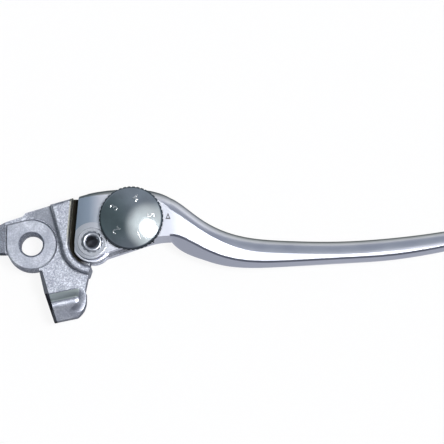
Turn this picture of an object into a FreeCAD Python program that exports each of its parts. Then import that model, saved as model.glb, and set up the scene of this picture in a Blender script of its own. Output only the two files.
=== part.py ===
import FreeCAD, Part
import math
import os

# Motorcycle front brake lever with a numbered reach dial, in millimetres.
# Origin: centre of the main pivot bore. +X runs along the blade to its ball, +Y points forward,
# away from the handlebar, and +Z points up, out of the dial.

V = FreeCAD.Vector
UP = V(0, 0, 1)
RUN = 0.05                  # radial clearance of parts that turn on each other
SNUG = 0.02                 # radial clearance of parts that are pressed or clinched

# Main pivot and the cast bracket round it
PIVOT_BORE = 8.4            # takes the 8 mm shoulder of the pivot bolt
PIVOT_CHAMFER = 0.7
BOSS_RADIUS = 9.7
BOSS_HALF = 4.25            # half of the boss's height
BOSS_EDGE = 0.6
BOSS_GROOVE = 0.3           # groove between the boss and the higher forms beside it
BOSS_DRAFT = 0.8            # how far the groove's outer wall leans back
WEB_HALF = 3.7              # cast web behind the boss
BROW_FRONT = 12.0           # front edge of the web above the pivot
BROW_X = -2.4
EAR_REACH = 15.5            # switch ear, left of the pivot
EAR_FRONT = 7.1
EAR_REAR = 3.05             # its rear face presses the brake light switch
EAR_ROOT = 8.7              # its front edge beside the boss
EAR_BROW = 11.2             # its front edge where it meets the brow
CORNER_TURN = 104.0         # degrees round the pivot where the boss's corner leaves the disc
EAR_HALF = 3.2
EAR_ROUND = 2.6
TAB_REACH = 29.0            # piston tab, from the pivot to its rear end
TAB_RIGHT = 20.6
TAB_HEEL_X = 5.05           # flat pad that pushes the piston: front end
TAB_HEEL_Y = 18.5
TAB_TOE_X = 8.7             # the same pad: rear end
TAB_HALF = 6.2
TAB_CREST = 22.9            # crest of the lug that stiffens the pad
TAB_LUG_FOOT = 4.6          # from the crest to the lug's foot on the web
TAB_LUG_END = 9.4           # from the pad's toe to the middle of the lug's round end
TAB_CREST_HALF = 1.4
TAB_CREST_DROP = 0.35       # fall of the rounded crest to its edges
TAB_HOLLOW = 0.4            # depth of the hollow between web and crest
TAB_SLANT = 12.0            # degrees that the crest slants across the tab
TAB_STEP = 1.2              # steep fall behind the crest: its run and the half height at its foot
TAB_STEP_HALF = 4.1
TAB_END_HALF = 2.4          # half height left at the bevelled rear end
TAB_CORNER = 8.5
TAB_DRAFT = 1.9             # how far the pad's edges slope back from its middle
TAB_TOE_DRAFT = 0.8         # the same at its toe
TAB_PAD_HALF = 1.8          # half height of the flat middle of the pad
CHEEK_HALF = 7.5            # raised cheek beside the gap
CHEEK_BAND = 3.1
CHEEK_RIDGE_X = 6.9         # front end of the cheek's inner ridge
CHEEK_EDGE = 1.1
CHEEK_TOP = 186.0           # degrees round the rivet where the cheek's ridge starts
CHEEK_END = 267.0           # degrees round the rivet where the cheek runs out
CHEEK_TAPER = 4.0           # how much earlier its outer edge ends
WEB_TOP = 200.0             # degrees round the rivet between which the web meets the cheek
WEB_END = 262.5
WEB_WAIST_X = 20.1          # web's right edge where it is narrowest
WEB_WAIST_Y = 17.5
WEB_LEFT = 135.0            # degrees round the pivot where the web leaves the boss
TAB_ROOT = 287.0            # the same for the tab's pad side
RAMP_X = -3.4               # where the slope above the boss runs out
RAMP_RISE = 1.0
RAMP_LEFT = 100.0           # degrees round the pivot between which the slope meets the boss
RAMP_RIGHT = 20.0
LAP = 1.0                   # how far one cast form runs into the next

# Knuckle where the lever turns on the bracket
RIVET_X = 22.9
RIVET_Y = 0.25
KNUCKLE_RADIUS = 6.6
KNUCKLE_GAP = 2.1
GAP_LEAN = 4.7              # degrees that the gap leans towards the blade
SHOULDER_FRONT = 17.2
RIVET_RADIUS = 3.0
RIVET_HOLE = 2.0
RIVET_HEAD = 4.6
RIVET_HEAD_THICK = 1.1
RIVET_DEPTH = 7.0           # drilled end that is rolled over the washer
RIVET_POINT = 1.2           # drill point below it
STAKES = 12                 # staking marks round the lip
STAKE_RADIUS = 0.4
LIP_RADIUS = 4.1            # rolled lip on top
LIP_HEIGHT = 0.95
WASHER_RADIUS = 5.5
WASHER_THICK = 0.5
BUSH_WALL = 1.15
EYE_RADIUS = 6.3            # tongue's eye round the bush
TONGUE_HALF = 4.1
NECK_START = 150.0          # degrees round the rivet between which the tongue grows out of the cheek
NECK_END = 263.0
SLOT_HALF = 4.5             # fork slot in the lever's head
SLOT_ROOM = 1.5             # room in front of the eye for the swing
ARM_TAIL = 1.0              # tongue's arm past its pad
ARM_END_ROOM = 1.0          # between the arm's end and the slot's end
KNUCKLE_END = -38.0         # degrees round the rivet where the head's rear wall starts
RECESS_ROOM = 0.3           # round the rivet's head and the clip's washer
SEAT_INSET = 0.15           # tongue's rear edge inside the head's rear wall
PLATE_LAP = 1.2             # how far the tongue's front plate enters the head
PLATE_SHORT = 0.1           # how far that plate stops behind the shoulder's front
PLATE_ROOM = 0.4            # between that plate and the head, with the lever swung

# Lever head
HEAD_HALF = 8.0
NECK_X = 51.9
REAR_BEND_X = 44.4          # rear wall, where it starts to level out
REAR_BEND_Y = 1.6
REAR_END_Y = 2.7
HEAD_EDGE = 0.8             # rounded rim of the knuckle and the left end
HEAD_FALL = 0.9             # how far the top falls off towards the gap
HEAD_FALL_X = 30.0          # where that fall starts
SPOT_RADIUS = 5.7           # flat spot face under the rivet's washer
LEDGE_RADIUS = 7.5          # lower step round the knuckle
LEDGE_TOP = 6.2
LEDGE_EDGE = 0.4
# Front edge at even steps from the gap to the neck, and the depth of its rounding there
HEAD_FRONTS = (17.4, 20.0, 21.2, 21.6, 21.0, 18.3)
HEAD_CROWNS = (2.5, 2.5, 2.8, 3.1, 3.6, 5.5)

# Blade and ball
BALL_X = 178.0
BALL_Y = 6.3
BALL_RADIUS = 8.2
BLADE_HALF_MID = 6.4
BLADE_HALF_TIP = 5.5
BLADE_MID = 0.3             # share of the blade where it has thinned to BLADE_HALF_MID
NECK_FACET = 0.45           # depth of the rear facets where they start at the neck
BLADE_EDGE = 0.6            # narrow bevel between flat and rear facet
# Sections along the blade: share of its length, front edge, rear edge, and the depths of the rounded
# front and of the rear facets
BLADE_SECTIONS = [
    (0.03, 16.1, -1.4, 5.7, 3.6),
    (0.09, 10.4, -4.8, 5.3, 3.3),
    (0.15, 6.2, -7.1, 5.4, 2.3),
    (0.22, 3.5, -8.2, 5.8, 1.5),
    (0.34, 2.0, -7.8, 5.7, 0.9),
    (0.50, 1.7, -6.4, 5.7, 0.6),
    (0.66, 3.0, -5.2, 5.8, 0.8),
    (0.81, 5.4, -2.2, 5.9, 0.9),
    (0.90, 7.4, 0.2, 5.4, 0.9),
    (0.97, 8.7, 2.3, 4.8, 0.8),
]

# Reach adjuster
DIAL_X = 37.5
DIAL_Y = 9.0
DIAL_RADIUS = 12.0
DIAL_RIM = 2.2
DIAL_DOME = 1.9
DIAL_SHOULDER = 0.9         # bevel between rim and dome: its width and drop
DIAL_DROP = 0.65
DIAL_FOOT = 0.25            # chamfer under the rim
DIAL_FLUTES = 44
FLUTE_RADIUS = 0.42
DIAL_WASHER_RADIUS = 9.0
DIAL_WASHER_THICK = 0.8
STEM_RADIUS = 4.0
STEM_SQUARE = 5.2           # drives the cam
STEM_TAIL = 2.5
CLIP_RADIUS = 4.4
CLIP_GROOVE = 1.9
CLIP_THICK = 0.8
CLIP_MOUTH = 3.2
CLIP_BITE = 0.8             # radius of the clip's two reliefs
CLIP_BITE_ANGLE = 110.0
CLIP_WASHER_RADIUS = 5.2
CLIP_WASHER_THICK = 0.6
CLIP_RECESS = 2.3
CAM_BASE = 4.8              # cam radius at number 5, the shortest reach
CAM_HALF = 4.0
CAM_PLAY = 0.15             # between cam and tongue
CAM_ROOM = 1.0              # between the cam's tallest side and its chamber
REACH_SWING = 5.0           # degrees that the lever swings from 5 to 1
DIAL_TURN = 288.0           # degrees that the dial turns from 5 to 1
CAM_DWELL = 14.0            # degrees of even radius past each end of the spiral
DETENTS = 5
DETENT_DEPTH = 0.12

# Return spring
SPRING_Y = 12.2
SPRING_RADIUS = 2.1         # to the middle of the wire
SPRING_WIRE = 0.7
SPRING_TURNS = 6
SPRING_POCKET_BRACKET = 4.4
SPRING_POCKET_LEVER = 7.2
SPRING_ROOM = 0.3

PIVOT = V(RIVET_X, RIVET_Y, 0)
DIAL = V(DIAL_X, DIAL_Y, 0)
ARM_LENGTH = (DIAL - PIVOT).Length
ARM_DIR = (DIAL - PIVOT).normalize()
ARM_NORMAL = V(-ARM_DIR.y, ARM_DIR.x, 0)
CAM_RISE = ARM_LENGTH * math.sin(math.radians(REACH_SWING))
CAM_SEAT = CAM_BASE + CAM_PLAY                      # from the dial's axis to the tongue's pad
CAM_HOLLOW = CAM_BASE + CAM_RISE + 2 * CAM_PLAY     # radius cleared round the cam
SHOULDER_RADIUS = KNUCKLE_RADIUS + KNUCKLE_GAP
BUSH_RADIUS = RIVET_RADIUS + RUN + BUSH_WALL
HALF_TURN_LEAN = 180 - GAP_LEAN


def polar(center, radius, degrees):
    angle = math.radians(degrees)
    return V(center.x + radius * math.cos(angle), center.y + radius * math.sin(angle), 0)


def outline(start, *moves):
    """Closed face in plan. A move is a point for a line, or a pair (middle, end) for an arc."""
    edges = []
    here = start
    for move in moves:
        if isinstance(move, tuple):
            middle, end = move
            edges.append(Part.Arc(here, middle, end).toShape())
        else:
            end = move
            edges.append(Part.LineSegment(here, end).toShape())
        here = end
    if (here - start).Length > 1e-6:
        edges.append(Part.LineSegment(here, start).toShape())
    return Part.Face(Part.Wire(edges))


def slab(face, half):
    lower = face.translated(V(0, 0, -half))
    return lower.extrude(V(0, 0, 2 * half))


def drum(center, radius, low, high):
    return Part.makeCylinder(radius, high - low, V(center.x, center.y, low))


def ring(center, inner, outer, low, high):
    return drum(center, outer, low, high).cut(drum(center, inner, low, high))


def level_edges(shape, half):
    """Edges that lie in the planes z = half and z = -half."""
    found = []
    for edge in shape.Edges:
        box = edge.BoundBox
        if box.ZLength < 1e-4 and abs(abs(box.ZMin) - half) < 1e-4:
            found.append(edge)
    return found


def gap_point(radius, front):
    """Point at a distance in front of the pivot, on the gap's straight side."""
    foot = polar(PIVOT, radius, HALF_TURN_LEAN)
    return V(foot.x + (front - foot.y) * math.tan(math.radians(GAP_LEAN)), front, 0)


# Bracket

def cheek():
    inner_start = polar(PIVOT, SHOULDER_RADIUS, HALF_TURN_LEAN)
    inner_mid = polar(PIVOT, SHOULDER_RADIUS, (HALF_TURN_LEAN + CHEEK_END) / 2)
    inner_end = polar(PIVOT, SHOULDER_RADIUS, CHEEK_END)
    outer = SHOULDER_RADIUS + CHEEK_BAND
    outer_start = polar(PIVOT, outer, CHEEK_END - CHEEK_TAPER)
    outer_mid = polar(PIVOT, outer, (CHEEK_TOP + CHEEK_END - CHEEK_TAPER) / 2)
    outer_end = polar(PIVOT, outer, CHEEK_TOP)
    shoulder = gap_point(SHOULDER_RADIUS, SHOULDER_FRONT)
    ridge = V(CHEEK_RIDGE_X, brow_at(CHEEK_RIDGE_X), 0)
    face = outline(inner_start, (inner_mid, inner_end), outer_start, (outer_mid, outer_end),
                   ridge, shoulder)
    solid = slab(face, CHEEK_HALF)
    rims = [edge for edge in level_edges(solid, CHEEK_HALF) if edge.Length > 2 * CHEEK_BAND]
    return solid.makeFillet(CHEEK_EDGE, rims)


def brow_at(x):
    """Front edge of the web, a straight run from the brow to the shoulder."""
    shoulder = gap_point(SHOULDER_RADIUS, SHOULDER_FRONT)
    share = (x - BROW_X) / (shoulder.x - BROW_X)
    return BROW_FRONT + share * (SHOULDER_FRONT - BROW_FRONT)


def ramp():
    """Slope that falls from the cheek's ridge towards the boss."""
    ridge = V(CHEEK_RIDGE_X, brow_at(CHEEK_RIDGE_X), 0)
    root = BOSS_RADIUS - LAP
    inner = polar(PIVOT, SHOULDER_RADIUS + CHEEK_BAND - LAP, CHEEK_TOP)
    plan = outline(V(BROW_X, BROW_FRONT, 0), polar(V(), root, RAMP_LEFT), polar(V(), root, RAMP_RIGHT),
                   inner, ridge + V(LAP, 0, 0), ridge)
    top_x = inner.x - LAP
    top = WEB_HALF + RAMP_RISE
    side = Part.makePolygon([V(RAMP_X, 0, -WEB_HALF), V(RAMP_X, 0, WEB_HALF), V(top_x, 0, top),
                             V(top_x + 2 * LAP, 0, top), V(top_x + 2 * LAP, 0, -top),
                             V(top_x, 0, -top), V(RAMP_X, 0, -WEB_HALF)])
    wedge = Part.Face(side).extrude(V(0, SHOULDER_FRONT + BOSS_RADIUS, 0))
    return slab(plan, CHEEK_HALF).common(wedge)


def web():
    shoulder = gap_point(SHOULDER_RADIUS, SHOULDER_FRONT)
    band = SHOULDER_RADIUS + CHEEK_BAND - LAP / 2
    face = outline(shoulder - V(LAP, 0, 0), V(BROW_X, BROW_FRONT, 0), polar(V(), BOSS_RADIUS, WEB_LEFT),
                   polar(V(), BOSS_RADIUS - LAP / 2, TAB_ROOT), V(TAB_HEEL_X, -TAB_HEEL_Y, 0),
                   V(TAB_RIGHT, -TAB_HEEL_Y, 0), V(WEB_WAIST_X, -WEB_WAIST_Y, 0),
                   polar(PIVOT, band, WEB_END),
                   polar(PIVOT, SHOULDER_RADIUS + LAP, WEB_TOP))
    return slab(face, WEB_HALF)


def ear():
    tip = -EAR_REACH
    front = V(tip + EAR_ROUND, EAR_FRONT, 0)
    side = V(tip, EAR_FRONT - EAR_ROUND, 0)
    lower = V(tip, -EAR_REAR + EAR_ROUND / 2, 0)
    heel = V(tip + EAR_ROUND / 2, -EAR_REAR, 0)
    root = V(-BOSS_RADIUS / 2, -EAR_REAR, 0)
    face = outline(V(BROW_X, EAR_BROW, 0), V(-BOSS_RADIUS, EAR_ROOT, 0), front, side, lower, heel, root)
    return slab(face, EAR_HALF)


def boss():
    """Round boss whose face runs on into the corner between the ear and the brow."""
    disc = drum(V(), BOSS_RADIUS, -BOSS_HALF, BOSS_HALF)
    leave = polar(V(), BOSS_RADIUS, CORNER_TURN)
    slope = math.tan(math.radians(CORNER_TURN - 90))
    corner = slab(outline(V(), V(-BOSS_RADIUS, 0, 0),
                          V(-BOSS_RADIUS, leave.y - (BOSS_RADIUS + leave.x) * slope, 0), leave), BOSS_HALF)
    body = disc.fuse(corner).removeSplitter()
    return body.makeChamfer(BOSS_EDGE, level_edges(body, BOSS_HALF))


def tab_plan(height, heel_inset, toe_inset):
    """Plan of the tab at a height; the insets move the pad's side in from its middle."""
    root = polar(V(), BOSS_RADIUS - LAP / 2, TAB_ROOT) + V(heel_inset, 0, 0)
    heel = V(TAB_HEEL_X + heel_inset, -TAB_HEEL_Y, 0)
    toe = V(TAB_TOE_X + toe_inset, -TAB_REACH, 0)
    middle = V(TAB_RIGHT - TAB_CORNER, -TAB_REACH + TAB_CORNER, 0)
    bottom = middle - V(0, TAB_CORNER, 0)
    right = middle + V(TAB_CORNER, 0, 0)
    face = outline(root, heel, toe, bottom, (polar(middle, TAB_CORNER, -45), right),
                   V(TAB_RIGHT, TAB_LUG_FOOT - TAB_CREST, 0))
    return face.translated(V(0, 0, height))


def lug_half(width):
    """Upper half of the tab's side profile, swept to a width: web, hollow, crest, step and rear bevel."""
    root = V(0, TAB_LUG_FOOT - TAB_CREST, WEB_HALF)
    brow = V(0, TAB_CREST_HALF - TAB_CREST, TAB_HALF - TAB_CREST_DROP)
    brink = V(0, -TAB_CREST_HALF - TAB_CREST, TAB_HALF - TAB_CREST_DROP)
    dip = (root + brow) * 0.5 - V(0, 0, TAB_HOLLOW)
    step = V(0, brink.y - TAB_STEP, TAB_STEP_HALF)
    end = V(0, -TAB_REACH, TAB_END_HALF)
    foot = V(0, -TAB_REACH, 0)
    start = V(0, 0, WEB_HALF)
    curves = [Part.LineSegment(V(), start), Part.LineSegment(start, root), Part.Arc(root, dip, brow),
              Part.Arc(brow, V(0, -TAB_CREST, TAB_HALF), brink), Part.LineSegment(brink, step),
              Part.LineSegment(step, end), Part.LineSegment(end, foot), Part.LineSegment(foot, V())]
    face = Part.Face(Part.Wire([curve.toShape() for curve in curves]))
    return face.extrude(V(width, 0, 0))


def lug_end():
    """Round right end of the lug: its front slope turned about an upright axis."""
    edge = TAB_HALF - TAB_CREST_DROP
    dip_radius = (TAB_CREST_HALF + TAB_LUG_FOOT) / 2
    dip = (edge + WEB_HALF) / 2 - TAB_HOLLOW
    center = V(TAB_TOE_X + TAB_LUG_END, -TAB_CREST, 0)
    return turned(center, [(0, 0), (0, TAB_HALF), (TAB_CREST_HALF, edge),
                           ((dip_radius, dip), (TAB_LUG_FOOT, WEB_HALF)), (0, 0)])


def tab():
    """Piston tab: a plan with a drafted pad, cut by the side profile and its round-ended lug."""
    pad = tab_plan(TAB_PAD_HALF, 0, 0).OuterWire
    brim = tab_plan(TAB_HALF, TAB_DRAFT, TAB_TOE_DRAFT).OuterWire
    flank = Part.makeLoft([pad, brim], True, True)
    body = slab(tab_plan(0, 0, 0), TAB_PAD_HALF).multiFuse([flank, flank.mirror(V(), UP)])
    plate = lug_half(3 * TAB_RIGHT).common(Part.makeBox(3 * TAB_RIGHT, 2 * TAB_REACH, WEB_HALF,
                                                        V(0, -2 * TAB_REACH, 0)))
    ridge = lug_half(TAB_RIGHT + TAB_TOE_X + TAB_LUG_END)
    upper = plate.fuse(ridge).translated(V(-TAB_RIGHT, 0, 0)).fuse(lug_end())
    profile = upper.fuse(upper.mirror(V(), UP))
    profile.rotate(V(TAB_TOE_X, -TAB_REACH, 0), UP, TAB_SLANT)
    return body.common(profile)


def cam_pad(end):
    """End of the flat that the cam bears on: -1 next to the rivet, 1 at the arm's tip."""
    half = math.sqrt(CAM_HOLLOW ** 2 - CAM_SEAT ** 2)
    return DIAL - ARM_NORMAL * CAM_SEAT + ARM_DIR * end * half


def front_plate(inner, outer, front, half):
    """Flat plate along the gap, between two distances from the rivet's axis."""
    plan = outline(gap_point(inner, RIVET_Y), gap_point(inner, front), gap_point(outer, front),
                   gap_point(outer, RIVET_Y))
    return slab(plan, half)


def tongue():
    """Eye on the rivet, root in the cheek, arm whose pad faces the cam, and plate in front of the eye."""
    root = SHOULDER_RADIUS + LAP / 2
    neck = outline(PIVOT, polar(PIVOT, root, NECK_START),
                   (polar(PIVOT, root, (NECK_START + NECK_END) / 2), polar(PIVOT, root, NECK_END)))
    toward = math.degrees(math.atan2(-ARM_DIR.y, -ARM_DIR.x))
    sweep = math.degrees(math.asin(CAM_SEAT / CAM_HOLLOW))
    inset = V(0, SEAT_INSET, 0)
    arm = outline(PIVOT, polar(DIAL, CAM_HOLLOW, toward),
                  (polar(DIAL, CAM_HOLLOW, toward + sweep / 2), cam_pad(-1)), cam_pad(1),
                  rear_wall_at(cam_pad(1).x + ARM_TAIL) + inset, rear_wall_at(REAR_BEND_X) + inset,
                  rear_start() + inset)
    eye = drum(PIVOT, EYE_RADIUS, -TONGUE_HALF, TONGUE_HALF)
    plate = front_plate(KNUCKLE_RADIUS - PLATE_LAP, SHOULDER_RADIUS + LAP, SHOULDER_FRONT - PLATE_SHORT,
                        TONGUE_HALF)
    return slab(neck, TONGUE_HALF).multiFuse([eye, slab(arm, TONGUE_HALF), plate])


def spring_pocket(face_x, depth):
    """Blind bore for the return spring; a negative depth runs towards the pivot."""
    start = V(face_x - depth, SPRING_Y, 0)
    radius = SPRING_RADIUS + SPRING_WIRE / 2 + SPRING_ROOM
    return Part.makeCylinder(radius, 2 * abs(depth), start, V(depth, 0, 0))


def pivot_bracket():
    groove = BOSS_RADIUS + BOSS_GROOVE
    rooms = [Part.makeCone(groove, groove + BOSS_DRAFT, CHEEK_HALF - WEB_HALF, V(0, 0, sign * WEB_HALF),
                           UP * sign) for sign in (1, -1)]
    body = web().multiFuse([cheek(), ramp(), ear(), tab(), tongue()]).cut(rooms).fuse(boss())
    bore = drum(V(), PIVOT_BORE / 2, -CHEEK_HALF * 2, CHEEK_HALF * 2)
    mouths = [Part.makeCone(PIVOT_BORE / 2, PIVOT_BORE / 2 + 2 * PIVOT_CHAMFER, 2 * PIVOT_CHAMFER,
                            V(0, 0, sign * (BOSS_HALF - PIVOT_CHAMFER)), UP * sign) for sign in (1, -1)]
    eye = drum(PIVOT, BUSH_RADIUS + SNUG, -TONGUE_HALF * 2, TONGUE_HALF * 2)
    shoulder = gap_point(SHOULDER_RADIUS, SPRING_Y)
    pocket = spring_pocket(shoulder.x, -SPRING_POCKET_BRACKET)
    return body.cut([bore, eye, pocket] + mouths).removeSplitter()


# Lever

def rear_start():
    return polar(PIVOT, KNUCKLE_RADIUS, KNUCKLE_END)


def rear_wall_at(x):
    """Point on the head's rear wall, between the knuckle and the neck."""
    start = rear_start()
    if x < REAR_BEND_X:
        share = (x - start.x) / (REAR_BEND_X - start.x)
        return V(x, start.y + share * (REAR_BEND_Y - start.y), 0)
    share = (x - REAR_BEND_X) / (NECK_X - REAR_BEND_X)
    return V(x, REAR_BEND_Y + (REAR_END_Y - REAR_BEND_Y) * (2 * share - share ** 2), 0)


def section(x, front, rear, crown, facet, half):
    """Cross-section at x: rounded front, flat top and bottom, two bevelled rear facets."""
    top_front = V(x, front - crown, half)
    low_front = V(x, front - crown, -half)
    nose = Part.Arc(low_front, V(x, front, 0), top_front).toShape()
    brink = rear + facet + BLADE_EDGE
    drop = rear + facet * (1 - BLADE_EDGE / half)
    corners = [top_front, V(x, brink, half), V(x, drop, half - BLADE_EDGE), V(x, rear, 0),
               V(x, drop, BLADE_EDGE - half), V(x, brink, -half), low_front]
    sides = [Part.LineSegment(a, b).toShape() for a, b in zip(corners, corners[1:])]
    return Part.Wire([nose] + sides)


def head():
    """Head: front edge lofted, left end and rear wall cut to the plan."""
    back = RIVET_Y - 2 * KNUCKLE_RADIUS
    left = RIVET_X - KNUCKLE_RADIUS - 2 * LAP
    step = (NECK_X - left) / (len(HEAD_FRONTS) - 1)
    stations = []
    for number, (front, crown) in enumerate(zip(HEAD_FRONTS, HEAD_CROWNS)):
        stations.append(section(left + number * step, front, back, crown, LAP, HEAD_HALF))
    loft = Part.makeLoft(stations, True)
    knuckle = polar(PIVOT, KNUCKLE_RADIUS, HALF_TURN_LEAN)
    front = 2 * DIAL_RADIUS + DIAL_Y
    level = V(NECK_X, REAR_END_Y, 0)
    bend = V(REAR_BEND_X, REAR_BEND_Y, 0)
    under = polar(PIVOT, KNUCKLE_RADIUS, (HALF_TURN_LEAN + KNUCKLE_END + 360) / 2)
    plan = outline(knuckle, (under, rear_start()), bend,
                   (rear_wall_at((REAR_BEND_X + NECK_X) / 2), level), V(NECK_X, front, 0),
                   gap_point(KNUCKLE_RADIUS, front))
    body = loft.common(slab(plan, 2 * HEAD_HALF))
    rims = [edge for edge in level_edges(body, HEAD_HALF) if edge.BoundBox.XMax < rear_start().x + SNUG]
    return body.makeFillet(HEAD_EDGE, rims).cut(head_fall(left))


def head_fall(left):
    """What the top loses where it falls off in a long curve towards the gap."""
    run = HEAD_FALL_X - left
    start = V(HEAD_FALL_X, 0, HEAD_HALF)
    middle = V(HEAD_FALL_X - run / 2, 0, HEAD_HALF - HEAD_FALL / 4)
    end = V(left, 0, HEAD_HALF - HEAD_FALL)
    crest = Part.Arc(start, middle, end).toShape()
    sides = Part.makePolygon([end, V(left, 0, 2 * HEAD_HALF), V(HEAD_FALL_X, 0, 2 * HEAD_HALF), start])
    face = Part.Face(Part.Wire([crest] + sides.Edges))
    reach = 4 * KNUCKLE_RADIUS
    return face.translated(V(0, -reach, 0)).extrude(V(0, 2 * reach, 0))


def blade_half(share):
    """Half height along the blade, from the head to the ball."""
    if share < BLADE_MID:
        ease = share / BLADE_MID
        return HEAD_HALF + (BLADE_HALF_MID - HEAD_HALF) * ease * ease * (3 - 2 * ease)
    return BLADE_HALF_MID + (BLADE_HALF_TIP - BLADE_HALF_MID) * (share - BLADE_MID) / (1 - BLADE_MID)


def blade():
    length = BALL_X - NECK_X
    neck = (0.0, HEAD_FRONTS[-1], REAR_END_Y - NECK_FACET, HEAD_CROWNS[-1], NECK_FACET)
    stations = []
    for share, front, rear, crown, facet in [neck] + BLADE_SECTIONS:
        stations.append(section(NECK_X + share * length, front, rear, crown, facet, blade_half(share)))
    return Part.makeLoft(stations, True)


def knuckle_ledge():
    """Lower step of the knuckle's upper cheek, round the rivet's rear side."""
    disc = drum(PIVOT, LEDGE_RADIUS, SLOT_HALF, LEDGE_TOP)
    disc = disc.makeFillet(LEDGE_EDGE, level_edges(disc, LEDGE_TOP))
    corner = V(RIVET_X - KNUCKLE_RADIUS, RIVET_Y - 2 * LEDGE_RADIUS, 0)
    return disc.common(Part.makeBox(2 * LEDGE_RADIUS, 2 * LEDGE_RADIUS, HEAD_HALF, corner))


def lever_blade():
    ball = Part.makeSphere(BALL_RADIUS, V(BALL_X, BALL_Y, 0))
    spot = drum(PIVOT, SPOT_RADIUS, HEAD_HALF - 2 * HEAD_FALL, HEAD_HALF)
    body = head().multiFuse([blade(), ball, spot, knuckle_ledge()])
    deep = 2 * HEAD_HALF
    left = RIVET_X - 2 * KNUCKLE_RADIUS
    rear = RIVET_Y - 2 * KNUCKLE_RADIUS
    slot_end = cam_pad(1).x + ARM_TAIL + ARM_END_ROOM
    slot_front = max(RIVET_Y + EYE_RADIUS, cam_pad(1).y) + SLOT_ROOM
    slot = Part.makeBox(slot_end - left, slot_front - rear, 2 * SLOT_HALF, V(left, rear, -SLOT_HALF))
    swing = SHOULDER_FRONT * math.sin(math.radians(REACH_SWING))
    mouth = front_plate(KNUCKLE_RADIUS - PLATE_LAP - swing - PLATE_ROOM, SHOULDER_RADIUS, 2 * SHOULDER_FRONT,
                        SLOT_HALF)
    cam_room = drum(DIAL, CAM_BASE + CAM_RISE + CAM_ROOM, -SLOT_HALF, SLOT_HALF)
    rivet_hole = drum(PIVOT, RIVET_RADIUS + SNUG, -deep, deep)
    rivet_recess = drum(PIVOT, RIVET_HEAD + RECESS_ROOM, -deep, -HEAD_HALF + RIVET_HEAD_THICK)
    stem_hole = drum(DIAL, STEM_RADIUS + RUN, 0, deep)
    tail_hole = drum(DIAL, STEM_TAIL + RUN, -deep, 0)
    clip_recess = drum(DIAL, CLIP_WASHER_RADIUS + RECESS_ROOM, -deep, -HEAD_HALF + CLIP_RECESS)
    pocket = spring_pocket(gap_point(KNUCKLE_RADIUS, SPRING_Y).x, SPRING_POCKET_LEVER)
    return body.cut([slot, mouth, cam_room, rivet_hole, rivet_recess, stem_hole, tail_hole, clip_recess,
                     pocket])


# Rivet joint

def turned(center, points):
    """Solid of revolution about an upright axis; points are (radius, height) or an arc's (middle, end)."""
    edges = []
    here = V(points[0][0], 0, points[0][1])
    for move in points[1:]:
        if isinstance(move[0], tuple):
            middle = V(move[0][0], 0, move[0][1])
            end = V(move[1][0], 0, move[1][1])
            edges.append(Part.Arc(here, middle, end).toShape())
        else:
            end = V(move[0], 0, move[1])
            edges.append(Part.LineSegment(here, end).toShape())
        here = end
    face = Part.Face(Part.Wire(edges))
    return face.revolve(V(), UP, 360).translated(center)


def pivot_rivet():
    """Semi-tubular rivet: plain head below, drilled end rolled over the washer and staked on top."""
    foot = -HEAD_HALF + RIVET_HEAD_THICK
    seat = HEAD_HALF + WASHER_THICK
    floor = seat - RIVET_DEPTH
    crown = ((RIVET_HOLE + LIP_RADIUS) / 2, seat + LIP_HEIGHT)
    body = turned(PIVOT, [(0, -HEAD_HALF), (0, floor - RIVET_POINT), (RIVET_HOLE, floor), (RIVET_HOLE, seat),
                          (crown, (LIP_RADIUS, seat)), (RIVET_RADIUS, seat), (RIVET_RADIUS, foot),
                          (RIVET_HEAD, foot), (RIVET_HEAD, -HEAD_HALF), (0, -HEAD_HALF)])
    stakes = []
    for number in range(STAKES):
        center = polar(PIVOT, LIP_RADIUS, 360 * number / STAKES)
        stakes.append(drum(center, STAKE_RADIUS, seat, seat + LIP_HEIGHT))
    return body.cut(stakes)


def rivet_washer():
    top = HEAD_HALF + WASHER_THICK
    disc = drum(PIVOT, WASHER_RADIUS, HEAD_HALF, top)
    disc = disc.makeFillet(WASHER_THICK / 2, level_edges(disc, top))
    return disc.cut(drum(PIVOT, RIVET_RADIUS + SNUG, HEAD_HALF, top))


def pivot_bush():
    half = (TONGUE_HALF + SLOT_HALF) / 2
    return ring(PIVOT, RIVET_RADIUS + RUN, BUSH_RADIUS, -half, half)


# Reach adjuster

def dial_seat():
    return HEAD_HALF + DIAL_WASHER_THICK + RUN


def adjuster_dial():
    """Fluted and domed cap with its stem: journal, square for the cam, and grooved tail for the clip."""
    low = dial_seat()
    rim = low + DIAL_RIM
    brow = DIAL_RADIUS - DIAL_SHOULDER
    bulge = (brow ** 2 + DIAL_DOME ** 2) / (2 * DIAL_DOME)
    half = brow / 2
    half_height = rim + DIAL_DOME - bulge + math.sqrt(bulge ** 2 - half ** 2)
    cap = turned(DIAL, [(0, low), (DIAL_RADIUS - DIAL_FOOT, low), (DIAL_RADIUS, low + DIAL_FOOT),
                        (DIAL_RADIUS, rim - DIAL_DROP), (brow, rim),
                        ((half, half_height), (0, rim + DIAL_DOME)), (0, low)])
    flutes = []
    for number in range(DIAL_FLUTES):
        center = polar(DIAL, DIAL_RADIUS + FLUTE_RADIUS / 3, 360 * number / DIAL_FLUTES)
        flutes.append(drum(center, FLUTE_RADIUS, low - DIAL_RIM, rim + DIAL_DOME))
    cap = cap.cut(flutes)
    journal = drum(DIAL, STEM_RADIUS, SLOT_HALF, low)
    side = STEM_SQUARE
    drive = Part.makeBox(side, side, SLOT_HALF * 2, V(DIAL_X - side / 2, DIAL_Y - side / 2, -SLOT_HALF))
    tail = drum(DIAL, STEM_TAIL, -HEAD_HALF + RUN, -SLOT_HALF)
    groove = ring(DIAL, CLIP_GROOVE, CLIP_RADIUS, *clip_levels())
    return cap.multiFuse([journal, drive, tail]).cut(groove)


def clip_levels():
    top = -HEAD_HALF + CLIP_RECESS - CLIP_WASHER_THICK - RUN
    return top - CLIP_THICK, top


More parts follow.
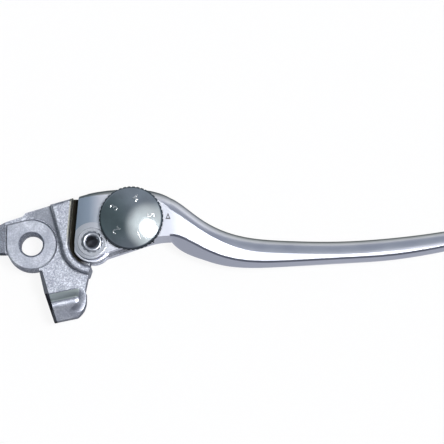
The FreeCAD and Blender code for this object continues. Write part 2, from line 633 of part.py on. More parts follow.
def cam_radius(turn):
    """Spiral that lifts evenly from the first number to the last, then falls back."""
    turn = turn % 360
    back = 360 - CAM_DWELL
    if turn > back:
        return CAM_BASE
    if turn <= DIAL_TURN:
        return CAM_BASE + CAM_RISE * turn / DIAL_TURN
    if turn <= DIAL_TURN + CAM_DWELL:
        return CAM_BASE + CAM_RISE
    share = (turn - DIAL_TURN - CAM_DWELL) / (back - DIAL_TURN - CAM_DWELL)
    return CAM_BASE + CAM_RISE * (1 + math.cos(math.pi * share)) / 2


def adjuster_cam():
    start = math.degrees(math.atan2(-ARM_NORMAL.y, -ARM_NORMAL.x))
    step = 12
    points = [polar(DIAL, cam_radius(turn), start + turn) for turn in range(0, 360, step)]
    curve = Part.BSplineCurve()
    curve.interpolate(Points=points, PeriodicFlag=True)
    body = slab(Part.Face(Part.Wire(curve.toShape())), CAM_HALF)
    flats = []
    for number in range(DETENTS):
        turn = DIAL_TURN * number / (DETENTS - 1)
        reach = cam_radius(turn) - DETENT_DEPTH
        flat = Part.makeBox(CAM_BASE, 2 * CAM_BASE, 4 * CAM_HALF, V(reach, -CAM_BASE, -2 * CAM_HALF))
        flat.rotate(V(), UP, start + turn)
        flats.append(flat.translated(DIAL))
    side = STEM_SQUARE + 2 * RUN
    hole = Part.makeBox(side, side, 4 * CAM_HALF, V(DIAL_X - side / 2, DIAL_Y - side / 2, -2 * CAM_HALF))
    return body.cut(flats + [hole])


def dial_washer():
    return ring(DIAL, STEM_RADIUS + RUN, DIAL_WASHER_RADIUS, HEAD_HALF, HEAD_HALF + DIAL_WASHER_THICK)


def clip_washer():
    top = -HEAD_HALF + CLIP_RECESS
    return ring(DIAL, STEM_TAIL + RUN, CLIP_WASHER_RADIUS, top - CLIP_WASHER_THICK, top)


def stem_clip():
    low, high = clip_levels()
    body = ring(DIAL, CLIP_GROOVE + SNUG, CLIP_RADIUS, low, high)
    mouth = Part.makeBox(2 * CLIP_RADIUS, CLIP_MOUTH, 2 * CLIP_THICK, V(DIAL_X, DIAL_Y - CLIP_MOUTH / 2, low))
    bites = []
    for angle in (CLIP_BITE_ANGLE, -CLIP_BITE_ANGLE):
        bites.append(drum(polar(DIAL, CLIP_GROOVE + CLIP_BITE / 2, angle), CLIP_BITE, low, high))
    return body.cut([mouth] + bites)


def return_spring():
    start = gap_point(SHOULDER_RADIUS, SPRING_Y).x - SPRING_POCKET_BRACKET + SPRING_WIRE / 2 + SNUG
    end = gap_point(KNUCKLE_RADIUS, SPRING_Y).x + SPRING_POCKET_LEVER - SPRING_WIRE / 2 - SNUG
    pitch = (end - start) / SPRING_TURNS
    helix = Part.makeHelix(pitch, end - start, SPRING_RADIUS)
    circle = Part.Circle(V(SPRING_RADIUS, 0, 0), V(0, 1, 0), SPRING_WIRE / 2)
    coil = Part.Wire(helix.Edges).makePipeShell([Part.Wire(circle.toShape())], True, True)
    coil.rotate(V(), V(0, 1, 0), 90)
    return coil.translated(V(start, SPRING_Y, 0))


PIECES = [pivot_bracket, lever_blade, pivot_rivet, rivet_washer, pivot_bush, adjuster_dial, adjuster_cam,
          dial_washer, clip_washer, stem_clip, return_spring]

os.makedirs("parts", exist_ok=True)
for piece in PIECES:
    piece().exportStep("parts/" + piece.__name__ + ".step")
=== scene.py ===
import math
import bpy
from mathutils import Matrix, Vector


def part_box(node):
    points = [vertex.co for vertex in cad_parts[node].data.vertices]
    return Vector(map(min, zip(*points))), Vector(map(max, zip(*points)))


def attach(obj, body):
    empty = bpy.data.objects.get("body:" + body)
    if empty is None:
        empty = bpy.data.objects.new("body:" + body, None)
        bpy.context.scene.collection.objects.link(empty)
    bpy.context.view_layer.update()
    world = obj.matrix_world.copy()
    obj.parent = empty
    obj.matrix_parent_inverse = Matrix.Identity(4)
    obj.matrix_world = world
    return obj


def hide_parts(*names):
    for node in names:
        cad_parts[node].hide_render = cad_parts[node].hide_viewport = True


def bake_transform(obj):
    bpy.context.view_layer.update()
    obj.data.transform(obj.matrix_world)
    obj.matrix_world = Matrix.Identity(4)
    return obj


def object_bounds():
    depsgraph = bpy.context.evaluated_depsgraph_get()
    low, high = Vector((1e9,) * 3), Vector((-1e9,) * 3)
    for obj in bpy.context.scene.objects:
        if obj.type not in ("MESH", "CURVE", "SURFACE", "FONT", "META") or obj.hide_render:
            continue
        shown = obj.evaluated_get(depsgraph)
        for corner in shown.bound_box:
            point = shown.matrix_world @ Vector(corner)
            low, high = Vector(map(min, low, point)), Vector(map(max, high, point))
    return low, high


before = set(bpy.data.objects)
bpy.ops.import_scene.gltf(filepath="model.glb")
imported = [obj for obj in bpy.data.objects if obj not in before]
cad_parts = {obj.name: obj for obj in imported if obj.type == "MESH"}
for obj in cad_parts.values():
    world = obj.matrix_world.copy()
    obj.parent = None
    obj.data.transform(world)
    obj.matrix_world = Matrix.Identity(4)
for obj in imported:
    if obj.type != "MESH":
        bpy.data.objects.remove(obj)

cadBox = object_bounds()
mm = 0.001
print("frame loaded:", sorted(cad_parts))


def linear(hexText):
    # sRGB hex to the linear colour that a shader takes
    shares = [int(hexText[i:i + 2], 16) / 255 for i in (1, 3, 5)]
    return [c / 12.92 if c <= 0.04045 else ((c + 0.055) / 1.055) ** 2.4 for c in shares] + [1.0]


def addNode(tree, kind, inputs=None, **settings):
    # inputs: socket name or number to a value or to the socket that feeds it
    node = tree.nodes.new(kind)
    for name, value in settings.items():
        setattr(node, name, value)
    for name, value in (inputs or {}).items():
        if isinstance(value, bpy.types.NodeSocket):
            tree.links.new(value, node.inputs[name])
        else:
            node.inputs[name].default_value = value
    return node


def startMaterial(name):
    material = bpy.data.materials.new(name)
    material.use_nodes = True
    tree = material.node_tree
    tree.nodes.clear()
    return material, tree


def closeMaterial(tree, shader):
    addNode(tree, "ShaderNodeOutputMaterial", {"Surface": shader.outputs[0]})


def setRamp(node, stops):
    ramp = node.color_ramp
    while len(ramp.elements) < len(stops):
        ramp.elements.new(0.5)
    for element, (place, colour) in zip(ramp.elements, stops):
        element.position = place
        element.color = linear(colour)


def allOf(tree, limits):
    # one where every (socket, comparison, millimetres) holds, else zero
    result = None
    for socket, comparison, limit in limits:
        test = addNode(tree, "ShaderNodeMath", {0: socket, 1: limit * mm}, operation=comparison).outputs[0]
        if result is None:
            result = test
        else:
            result = addNode(tree, "ShaderNodeMath", {0: result, 1: test}, operation="MULTIPLY").outputs[0]
    return result


def fromAxis(tree, place, spotMm):
    # distance from an upright axis through a spot
    height = addNode(tree, "ShaderNodeSeparateXYZ", {0: place}).outputs[2]
    axis = addNode(tree, "ShaderNodeCombineXYZ", {0: spotMm[0] * mm, 1: spotMm[1] * mm, 2: height})
    reach = addNode(tree, "ShaderNodeVectorMath", {0: place, 1: axis.outputs[0]}, operation="DISTANCE")
    return reach.outputs["Value"]


# Materials

castFinish = {
    # painted shade: a dark edge tint darkens the grazing reflections
    "tones": ((0.16, "#666a72"), (0.33, "#858995"), (0.5, "#a9adb9"), (0.66, "#dfe3eb")), "edgeTint": "#2c2d33",
    "grainMm": 0.55,          # blasted grain is about 0.2 mm, drawn coarser so that it shows
    "patchMm": 4.5, "patchShare": 0.25, "grainDepthMm": 0.06, "roughness": 0.52,
    "smoothLowMm": 4.0, "smoothHighMm": 6.6, "smoothRightMm": 10.5, "smoothRearMm": -9.8,
    "smoothRoughness": 0.44, "smoothShare": 0.55, "smoothDepth": 0.15, "tabFrontMm": -18.0,
    "lineMm": 0.4, "lineShare": 0.12, "lineTurn": 40.0, "lineStretch": 0.12,
    # painted shade: a dark tone in the gap and in the crescent round the eye, where shade falls
    "grease": "#262420", "rivetMm": (22.9, 0.25), "gapMm": 8.65, "gapLean": 4.7, "fadeMm": (18.5, 23.0),
    # painted shade: an olive tone on the cheek's rim beside the gap
    "film": "#757360", "filmMm": 9.8, "filmFadeMm": (-3.0, 4.0), "filmShare": 0.75,
    # painted shade: a dark tone along the tab's left flank
    "flankMm": (2.69, -8.8), "flankEndMm": (8.7, -29.0), "flankWidthMm": 1.1, "flank": "#50535a",
    "earMm": -10.0, "earShade": 0.26,
    # painted light: a pale tone in the tab's hollow, which lies in its own shade
    "hollow": "#d6dedb", "hollowLean": 12.0, "hollowMm": (-23.2, -19.9), "hollowEndMm": 18.0,
}


def castAluminium():
    # die-cast aluminium, shot-blasted: pale grey with a fine speckle; boss, slope and tab are smoother. A painted
    # highlight lies in the tab's hollow, and painted shade darkens the gap, the crescent round the eye, the
    # cheek's rim beside the gap, the tab's left flank and the ear
    d = castFinish
    material, tree = startMaterial("castAluminium")
    place = addNode(tree, "ShaderNodeTexCoord").outputs["Object"]
    grain = addNode(tree, "ShaderNodeTexNoise", {"Vector": place, "Scale": 1 / (d["grainMm"] * mm),
                                                 "Detail": 3.0, "Roughness": 0.6})
    patches = addNode(tree, "ShaderNodeTexNoise", {"Vector": place, "Scale": 1 / (d["patchMm"] * mm),
                                                   "Detail": 2.0})
    split = addNode(tree, "ShaderNodeSeparateXYZ", {0: place})
    rise = addNode(tree, "ShaderNodeMath", {0: split.outputs[2]}, operation="ABSOLUTE")
    onBoss = allOf(tree, [
        (rise.outputs[0], "GREATER_THAN", d["smoothLowMm"]), (rise.outputs[0], "LESS_THAN", d["smoothHighMm"]),
        (split.outputs[0], "LESS_THAN", d["smoothRightMm"]),
        (split.outputs[1], "GREATER_THAN", d["smoothRearMm"])])
    onTab = allOf(tree, [(split.outputs[1], "LESS_THAN", d["tabFrontMm"])])
    smooth = addNode(tree, "ShaderNodeMath", {0: onBoss, 1: onTab}, operation="MAXIMUM").outputs[0]
    # painted shade: the gap beside the lever and the crescent round the eye, fading out to the right
    rivet = Vector((d["rivetMm"][0] * mm, d["rivetMm"][1] * mm, 0))
    fromRivet = addNode(tree, "ShaderNodeVectorMath", {0: place, 1: rivet}, operation="SUBTRACT")
    lean = math.radians(180 - d["gapLean"])
    across = addNode(tree, "ShaderNodeVectorMath",
                     {0: fromRivet.outputs[0], 1: (math.cos(lean), math.sin(lean), 0)}, operation="DOT_PRODUCT")
    nearEye = allOf(tree, [(fromAxis(tree, place, d["rivetMm"]), "LESS_THAN", d["gapMm"])])
    fade = addNode(tree, "ShaderNodeMapRange", {0: split.outputs[0], 1: d["fadeMm"][0] * mm,
                                                2: d["fadeMm"][1] * mm, 3: 1.0, 4: 0.0})
    inEye = addNode(tree, "ShaderNodeMath", {0: nearEye, 1: fade.outputs[0]}, operation="MULTIPLY").outputs[0]
    inGap = allOf(tree, [(across.outputs["Value"], "LESS_THAN", d["gapMm"]),
                         (split.outputs[1], "GREATER_THAN", d["rivetMm"][1])])
    greasy = addNode(tree, "ShaderNodeMath", {0: inEye, 1: inGap}, operation="MAXIMUM")
    # painted shade: an olive band on the cheek's rim along the gap
    onRim = allOf(tree, [(across.outputs["Value"], "LESS_THAN", d["filmMm"])])
    thinning = addNode(tree, "ShaderNodeMapRange", {0: split.outputs[1], 1: d["filmFadeMm"][0] * mm,
                                                    2: d["filmFadeMm"][1] * mm, 3: 0.0, 4: d["filmShare"]})
    filmed = addNode(tree, "ShaderNodeMath", {0: onRim, 1: thinning.outputs[0]}, operation="MULTIPLY")
    # painted shade: a band along the tab's left flank
    run = (Vector(d["flankEndMm"]) - Vector(d["flankMm"])).normalized()
    fromFlank = addNode(tree, "ShaderNodeVectorMath",
                        {0: place, 1: (d["flankMm"][0] * mm, d["flankMm"][1] * mm, 0)}, operation="SUBTRACT")
    inward = addNode(tree, "ShaderNodeVectorMath", {0: fromFlank.outputs[0], 1: (-run.y, run.x, 0)},
                     operation="DOT_PRODUCT")
    onFlank = allOf(tree, [(inward.outputs["Value"], "LESS_THAN", d["flankWidthMm"]),
                           (split.outputs[1], "LESS_THAN", d["smoothRearMm"])])
    turned = addNode(tree, "ShaderNodeMapping", {"Vector": place, "Rotation": (0, 0, math.radians(d["lineTurn"])),
                                                 "Scale": (d["lineStretch"], 1.0, 1.0)})
    lines = addNode(tree, "ShaderNodeTexNoise", {"Vector": turned.outputs[0], "Scale": 1 / (d["lineMm"] * mm),
                                                 "Detail": 2.0})
    soft = addNode(tree, "ShaderNodeMapRange", {0: lines.outputs[0], 3: 0.5 - d["lineShare"] / 2,
                                                4: 0.5 + d["lineShare"] / 2})
    share = addNode(tree, "ShaderNodeMath", {0: smooth, 1: d["smoothShare"]}, operation="MULTIPLY")
    surface = addNode(tree, "ShaderNodeMix", {"Factor": share.outputs[0], 2: grain.outputs[0], 3: soft.outputs[0]})
    onEar = allOf(tree, [(split.outputs[0], "LESS_THAN", d["earMm"])])
    shade = addNode(tree, "ShaderNodeMath", {0: onEar, 1: -d["earShade"]}, operation="MULTIPLY")
    tone = addNode(tree, "ShaderNodeMath", {0: surface.outputs[0], 1: 1 - d["patchShare"], 2: shade.outputs[0]},
                   operation="MULTIPLY_ADD")
    mixedTone = addNode(tree, "ShaderNodeMath", {0: patches.outputs[0], 1: d["patchShare"], 2: tone.outputs[0]},
                        operation="MULTIPLY_ADD")
    ramp = addNode(tree, "ShaderNodeValToRGB", {0: mixedTone.outputs[0]})
    setRamp(ramp, d["tones"])
    # painted shade on the cheek's rim
    dulled = addNode(tree, "ShaderNodeMix", {"Factor": filmed.outputs[0], 6: ramp.outputs[0],
                                             7: linear(d["film"])}, data_type="RGBA")
    # painted light: the tab's hollow is made paler
    slant = math.radians(d["hollowLean"])
    down = addNode(tree, "ShaderNodeVectorMath", {0: place, 1: (-math.sin(slant), math.cos(slant), 0)},
                   operation="DOT_PRODUCT").outputs["Value"]
    inHollow = allOf(tree, [(down, "GREATER_THAN", d["hollowMm"][0]), (down, "LESS_THAN", d["hollowMm"][1]),
                            (split.outputs[0], "LESS_THAN", d["hollowEndMm"])])
    rubbed = addNode(tree, "ShaderNodeMix", {"Factor": inHollow, 6: dulled.outputs[2], 7: linear(d["hollow"])},
                     data_type="RGBA")
    # painted shade on the tab's left flank
    worn = addNode(tree, "ShaderNodeMix", {"Factor": onFlank, 6: rubbed.outputs[2], 7: linear(d["flank"])},
                   data_type="RGBA")
    # painted shade in the gap and round the eye
    colour = addNode(tree, "ShaderNodeMix", {"Factor": greasy.outputs[0], 6: worn.outputs[2],
                                             7: linear(d["grease"])}, data_type="RGBA")
    rough = addNode(tree, "ShaderNodeMapRange", {0: smooth, 3: d["roughness"], 4: d["smoothRoughness"]})
    depth = addNode(tree, "ShaderNodeMapRange", {0: smooth, 3: 1.0, 4: d["smoothDepth"]})
    bump = addNode(tree, "ShaderNodeBump", {"Height": surface.outputs[0], "Strength": depth.outputs[0],
                                            "Distance": d["grainDepthMm"] * mm})
    # the dark edge tint paints shade on grazing reflections
    shader = addNode(tree, "ShaderNodeBsdfPrincipled",
                     {"Base Color": colour.outputs[2], "Metallic": 1.0, "Roughness": rough.outputs[0],
                      "Specular Tint": linear(d["edgeTint"]), "Normal": bump.outputs[0]})
    closeMaterial(tree, shader)
    return material


polishFinish = {
    # painted shade: a dark edge tint darkens the grazing reflections
    "dark": "#dfe2ee", "light": "#e9ecf6", "cloudMm": 9.0, "edgeTint": "#59606e",
    # painted shade: a darker tone on faces turned to the front
    "front": "#90948b", "frontMin": 0.56, "frontMax": 0.95,
    # painted shade: a darker tone on faces turned to the rear, with a pale edge tint there as painted light
    "rear": "#989caa", "rearTint": "#e8eaf2", "rearMin": -0.3, "rearMax": -0.7,
    # painted shade: a bluish grey on the head's flat beside the gap, fading out towards the dial
    "oiled": "#b6c5d9", "oiledFadeMm": (26.0, 21.5), "rivetMm": (22.9, 0.25), "ledgeMm": 7.6,
    "lineMm": 0.3,            # buffing lines are finer than this, drawn coarser so that they show
    "lineLengthMm": 30.0, "lineDepthMm": 0.0002, "roughLow": 0.285, "roughHigh": 0.315,
}


def polishedAluminium():
    # forged aluminium, linished and buffed along the lever: bright, with soft lengthwise streaks. Painted shade
    # darkens the faces turned to the front and to the rear and the head's flat beside the gap; a pale edge tint on
    # the rear faces is painted light, and a dark one paints shade on grazing reflections elsewhere
    d = polishFinish
    material, tree = startMaterial("polishedAluminium")
    coords = addNode(tree, "ShaderNodeTexCoord")
    place = coords.outputs["Object"]
    squeeze = d["lineMm"] / d["lineLengthMm"]
    drawn = addNode(tree, "ShaderNodeMapping", {"Vector": place, "Scale": (squeeze, 1.0, 1.0)})
    lines = addNode(tree, "ShaderNodeTexNoise", {"Vector": drawn.outputs[0], "Scale": 1 / (d["lineMm"] * mm),
                                                 "Detail": 3.0})
    clouds = addNode(tree, "ShaderNodeTexNoise", {"Vector": place, "Scale": 1 / (d["cloudMm"] * mm),
                                                  "Detail": 2.0})
    ramp = addNode(tree, "ShaderNodeValToRGB", {0: clouds.outputs[0]})
    setRamp(ramp, [(0.35, d["dark"]), (0.65, d["light"])])
    # painted shade on the head's flat beside the gap
    along = addNode(tree, "ShaderNodeSeparateXYZ", {0: place}).outputs[0]
    fade = addNode(tree, "ShaderNodeMapRange", {0: along, 1: d["oiledFadeMm"][0] * mm,
                                                2: d["oiledFadeMm"][1] * mm})
    pastLedge = allOf(tree, [(fromAxis(tree, place, d["rivetMm"]), "GREATER_THAN", d["ledgeMm"])])
    oiled = addNode(tree, "ShaderNodeMath", {0: fade.outputs[0], 1: pastLedge}, operation="MULTIPLY")
    flat = addNode(tree, "ShaderNodeMix", {"Factor": oiled.outputs[0], 6: ramp.outputs[0], 7: linear(d["oiled"])},
                   data_type="RGBA")
    facing = addNode(tree, "ShaderNodeSeparateXYZ", {0: coords.outputs["Normal"]})
    # painted shade on faces turned to the front
    front = addNode(tree, "ShaderNodeMapRange", {0: facing.outputs[1], 1: d["frontMin"], 2: d["frontMax"]})
    # painted shade on faces turned to the rear
    rear = addNode(tree, "ShaderNodeMapRange", {0: facing.outputs[1], 1: d["rearMin"], 2: d["rearMax"]})
    behind = addNode(tree, "ShaderNodeMix", {"Factor": rear.outputs[0], 6: flat.outputs[2],
                                             7: linear(d["rear"])}, data_type="RGBA")
    colour = addNode(tree, "ShaderNodeMix", {"Factor": front.outputs[0], 6: behind.outputs[2],
                                             7: linear(d["front"])}, data_type="RGBA")
    # painted light: the pale edge tint on rear faces; elsewhere the dark tint paints shade
    tint = addNode(tree, "ShaderNodeMix", {"Factor": rear.outputs[0], 6: linear(d["edgeTint"]),
                                           7: linear(d["rearTint"])}, data_type="RGBA")
    rough = addNode(tree, "ShaderNodeMapRange", {0: lines.outputs[0], 1: 0.3, 2: 0.7,
                                                 3: d["roughLow"], 4: d["roughHigh"]})
    bump = addNode(tree, "ShaderNodeBump", {"Height": lines.outputs[0], "Strength": 1.0,
                                            "Distance": d["lineDepthMm"] * mm})
    shader = addNode(tree, "ShaderNodeBsdfPrincipled",
                     {"Base Color": colour.outputs[2], "Metallic": 1.0, "Roughness": rough.outputs[0],
                      "Specular Tint": tint.outputs[2], "Normal": bump.outputs[0]})
    closeMaterial(tree, shader)
    return material


chromeFinish = {
    # painted shade: a dark edge tint darkens the grazing reflections
    "dark": "#b9c1c6", "light": "#c6d0d5", "edgeTint": "#22252c", "hazeMm": 6.0,
    "roughLow": 0.08, "roughHigh": 0.12, "middleMm": (37.5, 9.0), "rimMm": 11.35, "rim": "#747d82",
}


def chromePlate():
    # bright chrome on a zinc die casting: a dark mirror with a faint haze, a darker tone in its knurled rim, and a
    # dark edge tint that paints shade on grazing reflections
    d = chromeFinish
    material, tree = startMaterial("chromePlate")
    place = addNode(tree, "ShaderNodeTexCoord").outputs["Object"]
    haze = addNode(tree, "ShaderNodeTexNoise", {"Vector": place, "Scale": 1 / (d["hazeMm"] * mm), "Detail": 4.0})
    ramp = addNode(tree, "ShaderNodeValToRGB", {0: haze.outputs[0]})
    setRamp(ramp, [(0.35, d["dark"]), (0.65, d["light"])])
    rough = addNode(tree, "ShaderNodeMapRange", {0: haze.outputs[0], 1: 0.35, 2: 0.65,
                                                 3: d["roughLow"], 4: d["roughHigh"]})
    onRim = allOf(tree, [(fromAxis(tree, place, d["middleMm"]), "GREATER_THAN", d["rimMm"])])
    colour = addNode(tree, "ShaderNodeMix", {"Factor": onRim, 6: ramp.outputs[0], 7: linear(d["rim"])},
                     data_type="RGBA")
    # the dark edge tint paints shade on grazing reflections
    shader = addNode(tree, "ShaderNodeBsdfPrincipled",
                     {"Base Color": colour.outputs[2], "Metallic": 1.0, "Roughness": rough.outputs[0],
                      "Specular Tint": linear(d["edgeTint"])})
    closeMaterial(tree, shader)
    return material


# painted shade: a darker tone inside the rivet's hole
rivetHole = {"middleMm": (22.9, 0.25), "radiusMm": 2.1, "grease": "#989ba2"}


def turnedMetal(name, dark, light, grainMm, roughLow, roughHigh, depthMm, hole=None):
    # small turned or drawn metal pieces: a fine grain of tool marks, drawn coarser than real; painted shade
    # darkens a hole in the top
    material, tree = startMaterial(name)
    place = addNode(tree, "ShaderNodeTexCoord").outputs["Object"]
    marks = addNode(tree, "ShaderNodeTexNoise", {"Vector": place, "Scale": 1 / (grainMm * mm), "Detail": 3.0})
    ramp = addNode(tree, "ShaderNodeValToRGB", {0: marks.outputs[0]})
    setRamp(ramp, [(0.3, dark), (0.7, light)])
    rough = addNode(tree, "ShaderNodeMapRange", {0: marks.outputs[0], 1: 0.3, 2: 0.7, 3: roughLow, 4: roughHigh})
    bump = addNode(tree, "ShaderNodeBump", {"Height": marks.outputs[0], "Distance": depthMm * mm})
    colour = ramp.outputs[0]
    # painted shade inside the hole
    if hole:
        height = addNode(tree, "ShaderNodeSeparateXYZ", {0: place}).outputs[2]
        inside = allOf(tree, [(fromAxis(tree, place, hole["middleMm"]), "LESS_THAN", hole["radiusMm"]),
                              (height, "GREATER_THAN", 0.0)])
        colour = addNode(tree, "ShaderNodeMix", {"Factor": inside, 6: colour, 7: linear(hole["grease"])},
                         data_type="RGBA").outputs[2]
    shader = addNode(tree, "ShaderNodeBsdfPrincipled",
                     {"Base Color": colour, "Metallic": 1.0, "Roughness": rough.outputs[0],
                      "Normal": bump.outputs[0]})
    closeMaterial(tree, shader)
    return material


# name, dark, light, grain mm, roughness from and to, depth mm
# bluish white plating, softly bright
zincPlatedSteel = turnedMetal("zincPlatedSteel", "#a4a8b1", "#b4b8c0", 0.6, 0.32, 0.34, 0.0004, hole=rivetHole)
# plain grey, half dull
hardenedSteel = turnedMetal("hardenedSteel", "#919297", "#adaeb3", 0.5, 0.25, 0.4, 0.006)
# darker grey drawn wire
springWire = turnedMetal("springWire", "#84858b", "#a1a2a8", 0.3, 0.25, 0.4, 0.004)
# warm brown with a fine open grain
sinteredBronze = turnedMetal("sinteredBronze", "#a8824b", "#cda364", 0.25, 0.35, 0.55, 0.01)
# raised chrome that fingers keep bright
rubbedChrome = turnedMetal("rubbedChrome", "#eef0f2", "#f8f9fa", 0.5, 0.16, 0.24, 0.001)
# dull grey of a struck line
stampedLine = turnedMetal("stampedLine", "#55565d", "#6a6b73", 0.4, 0.4, 0.55, 0.002)
finishes = {
    "pivot_bracket": castAluminium(), "lever_blade": polishedAluminium(), "adjuster_dial": chromePlate(),
    "pivot_rivet": zincPlatedSteel, "rivet_washer": zincPlatedSteel, "dial_washer": zincPlatedSteel,
    "clip_washer": zincPlatedSteel, "adjuster_cam": hardenedSteel, "stem_clip": springWire,
    "return_spring": springWire, "pivot_bush": sinteredBronze,
}
for node, finish in finishes.items():
    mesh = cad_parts[node].data
    mesh.materials.clear()
    mesh.materials.append(finish)
print("finishes:", len(finishes))


# Numbers on the dial

numbers = {
    "count": 5, "firstAngle": 6.0, "step": 72.0,    # 5 stands at the index mark, the rest follow to the left
    "heightMm": 3.0, "ringMm": 7.3, "raiseMm": 0.2, "bevelMm": 0.12, "insetMm": 0.11,
    "shoulderMm": 0.9, "domeMm": 1.9,               # the dial's own bevel and dome
    "capShare": 0.7,                                # height of a digit as a share of the font's size
}


def domeHeight(reach, low, radius):
    # height of the dial's domed top at a distance from its axis
    shelf = radius - numbers["shoulderMm"] * mm
    dome = numbers["domeMm"] * mm
    bulge = (shelf ** 2 + dome ** 2) / (2 * dome)
    return low - bulge + math.sqrt(bulge ** 2 - reach ** 2)


def textMesh(text, height):
    curve = bpy.data.curves.new("numberOutline", "FONT")
    curve.body = text
    curve.size = height / numbers["capShare"]
    curve.align_x = "CENTER"
    curve.align_y = "CENTER"
    curve.extrude = numbers["raiseMm"] * mm
    curve.bevel_depth = numbers["bevelMm"] * mm
    curve.offset = -numbers["insetMm"] * mm
    curve.bevel_resolution = 2
    curve.resolution_u = 6
    carrier = bpy.data.objects.new("numberOutline", curve)
    mesh = bpy.data.meshes.new_from_object(carrier)
    bpy.data.objects.remove(carrier)
    bpy.data.curves.remove(curve)
    return mesh


def addNumbers():
    lowCorner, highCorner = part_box("adjuster_dial")
    middle = (lowCorner + highCorner) / 2
    radius = (highCorner.x - lowCorner.x) / 2
    for index in range(numbers["count"]):
        value = numbers["count"] - index
        angle = math.radians(numbers["firstAngle"] + numbers["step"] * index)
        mesh = textMesh(str(value), numbers["heightMm"] * mm)
        turn = Matrix.Rotation(angle - math.pi / 2, 2)
        top = max(v.co.z for v in mesh.vertices)
        for v in mesh.vertices:
            spot = turn @ Vector((v.co.x, v.co.y + numbers["ringMm"] * mm))
            lift = numbers["raiseMm"] * mm - (top - v.co.z)
            v.co = (middle.x + spot.x, middle.y + spot.y, domeHeight(spot.length, highCorner.z, radius) + lift)
        piece = bpy.data.objects.new("dialNumber" + str(value), mesh)
        bpy.context.scene.collection.objects.link(piece)
        mesh.materials.append(rubbedChrome)
        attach(piece, "dial")
    print("numbers on the dial:", numbers["count"])


addNumbers()


# Index mark on the lever

indexMark = {
    "xMm": 51.2, "yMm": 10.2, "topMm": 8.0,         # on the head's flat top
    "widthMm": 1.9, "heightMm": 2.4, "lineMm": 0.46, "raiseMm": 0.03, "sinkMm": 0.1,
}


def addIndexMark():
    d = indexMark
    outer = [Vector((-d["widthMm"] / 2, -d["heightMm"] / 2)), Vector((d["widthMm"] / 2, -d["heightMm"] / 2)),
             Vector((0, d["heightMm"] / 2))]
    centre = sum(outer, Vector((0, 0))) / 3
    inner = [centre + (p - centre) * (1 - 3 * d["lineMm"] / d["heightMm"]) for p in outer]
    points = []
    for level in (d["topMm"] - d["sinkMm"], d["topMm"] + d["raiseMm"]):
        for p in outer + inner:
            points.append(Vector((d["xMm"] + p.x, d["yMm"] + p.y, level)) * mm)
    faces = []
    for i in range(3):
        j = (i + 1) % 3
        faces += [(i, j, 6 + j, 6 + i), (3 + j, 3 + i, 9 + i, 9 + j), (6 + i, 6 + j, 9 + j, 9 + i),
                  (j, i, 3 + i, 3 + j)]
    mesh = bpy.data.meshes.new("indexMark")
    mesh.from_pydata(points, [], faces)
    piece = bpy.data.objects.new("indexMark", mesh)
    bpy.context.scene.collection.objects.link(piece)
    mesh.materials.append(stampedLine)
    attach(piece, "lever")
    print("index mark on the lever")


addIndexMark()


# Return spring


def addReturnCoil():
    # the coil again as a piece of its own: a copy of the CAD spring, which is hidden
    piece = bpy.data.objects.new("returnCoil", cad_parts["return_spring"].data.copy())
    bpy.context.scene.collection.objects.link(piece)
    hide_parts("return_spring")
    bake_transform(piece)


addReturnCoil()


# Camera

viewpoint = {
    "targetMm": (71.4, 8.4, 5.0), "tilt": 10.0, "distanceMm": 900.0, "frameMm": 166.5, "sensorMm": 36.0,
    "clipMm": 10.0,
}


def addCamera():
    d = viewpoint
    data = bpy.data.cameras.new("photoCamera")
    data.sensor_width = d["sensorMm"]
    data.lens = d["sensorMm"] * d["distanceMm"] / d["frameMm"]
    data.clip_start = d["clipMm"] * mm
    camera = bpy.data.objects.new("photoCamera", data)
    bpy.context.scene.collection.objects.link(camera)
    tilt = math.radians(d["tilt"])
    back = Vector((0, -math.sin(tilt), math.cos(tilt))) * d["distanceMm"]
    camera.location = (Vector(d["targetMm"]) + back) * mm
    camera.rotation_euler = (tilt, 0, 0)
    bpy.context.scene.camera = camera


addCamera()


# Floor and light

studio = {
    "floorSize": 6.0, "floor": "#f4f4f6", "floorGlow": 0.9,
    "skyLevel": 0.57, "sky": "#c2c9d6",
    "dark": "#7e8c91", "darkFrom": (-0.75, -0.08, 0.65), "darkSpan": (66.0, 28.0), "darkLevel": 1.0,
    "low": "#a4a8b4", "lowFrom": (0.0, -1.0, 0.25), "lowSpan": (75.0, 30.0), "lowLevel": 1.0,
    "glow": "#ffffff", "glowFrom": (0.37, -0.02, 0.93), "glowSpan": (34.0, 16.0), "glowLevel": 1.8,
    "bright": "#ffffff", "brightFrom": (0.35, -0.07, 0.93), "brightSpan": (11.0, 4.0), "brightLevel": 57.0,
    "keyReach": 1.1, "keySize": 0.2, "keyWatts": 0.85, "keyAimMm": (37.5, 9.0, 0.0),
}


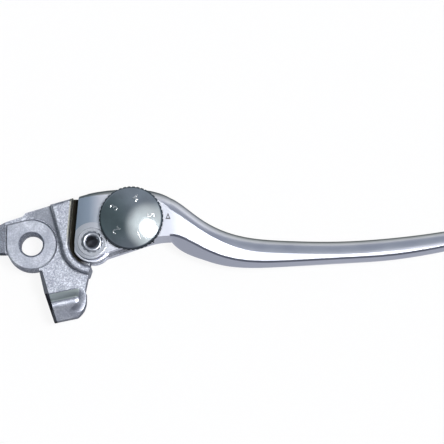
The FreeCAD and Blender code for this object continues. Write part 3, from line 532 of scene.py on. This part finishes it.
def addFloor():
    d = studio
    half = d["floorSize"] / 2
    level = cadBox[0][2]
    mesh = bpy.data.meshes.new("floor")
    mesh.from_pydata([(-half, -half, level), (half, -half, level), (half, half, level), (-half, half, level)],
                     [], [(0, 1, 2, 3)])
    floor = bpy.data.objects.new("floor", mesh)
    bpy.context.scene.collection.objects.link(floor)
    material, tree = startMaterial("paperFloor")
    # matt white paper: an even pale ground that keeps a faint shadow
    rays = addNode(tree, "ShaderNodeLightPath")
    seen = addNode(tree, "ShaderNodeMath", {0: rays.outputs["Is Camera Ray"], 1: rays.outputs["Is Glossy Ray"]},
                   operation="MAXIMUM")
    seenToo = addNode(tree, "ShaderNodeMath", {0: seen.outputs[0], 1: rays.outputs["Is Transmission Ray"]},
                      operation="MAXIMUM")
    share = addNode(tree, "ShaderNodeMath", {0: seenToo.outputs[0], 1: d["floorGlow"]}, operation="MULTIPLY")
    paper = addNode(tree, "ShaderNodeBsdfDiffuse", {"Color": linear(d["floor"])})
    glow = addNode(tree, "ShaderNodeEmission", {"Color": (1, 1, 1, 1), "Strength": 1.0})
    mixed = addNode(tree, "ShaderNodeMixShader", {0: share.outputs[0], 1: paper.outputs[0], 2: glow.outputs[0]})
    closeMaterial(tree, mixed)
    mesh.materials.append(material)


def addKey():
    # softbox overhead on the right, in the middle of the sky's bright patch
    d = studio
    data = bpy.data.lights.new("keySoftbox", "AREA")
    data.shape = "DISK"
    data.size = d["keySize"]
    data.energy = d["keyWatts"]
    lamp = bpy.data.objects.new("keySoftbox", data)
    bpy.context.scene.collection.objects.link(lamp)
    aim = Vector(d["keyAimMm"]) * mm
    way = Vector(d["brightFrom"]).normalized()
    lamp.location = aim + way * d["keyReach"]
    lamp.rotation_euler = way.to_track_quat("Z", "Y").to_euler()


def addSky():
    # an even grey room: a bright ceiling on the right, darker high up on the left and low in front
    d = studio
    world = bpy.data.worlds.new("studioRoom")
    bpy.context.scene.world = world
    world.use_nodes = True
    tree = world.node_tree
    tree.nodes.clear()
    way = addNode(tree, "ShaderNodeTexCoord").outputs["Generated"]
    colour = linear(d["sky"])
    for name in ("dark", "low", "glow", "bright"):
        toward = addNode(tree, "ShaderNodeVectorMath", {0: way, 1: Vector(d[name + "From"]).normalized()},
                         operation="DOT_PRODUCT")
        wide, narrow = d[name + "Span"]
        share = addNode(tree, "ShaderNodeMapRange", {0: toward.outputs["Value"], 1: math.cos(math.radians(wide)),
                                                     2: math.cos(math.radians(narrow))},
                        interpolation_type="SMOOTHSTEP")
        level = [c * d[name + "Level"] for c in linear(d[name])[:3]] + [1.0]
        colour = addNode(tree, "ShaderNodeMix", {"Factor": share.outputs[0], 6: colour, 7: level},
                         data_type="RGBA").outputs[2]
    glow = addNode(tree, "ShaderNodeBackground", {"Color": colour, "Strength": d["skyLevel"]})
    addNode(tree, "ShaderNodeOutputWorld", {"Surface": glow.outputs[0]})


addFloor()
addSky()
addKey()
bpy.context.scene.view_settings.view_transform = "Standard"
print("studio ready")
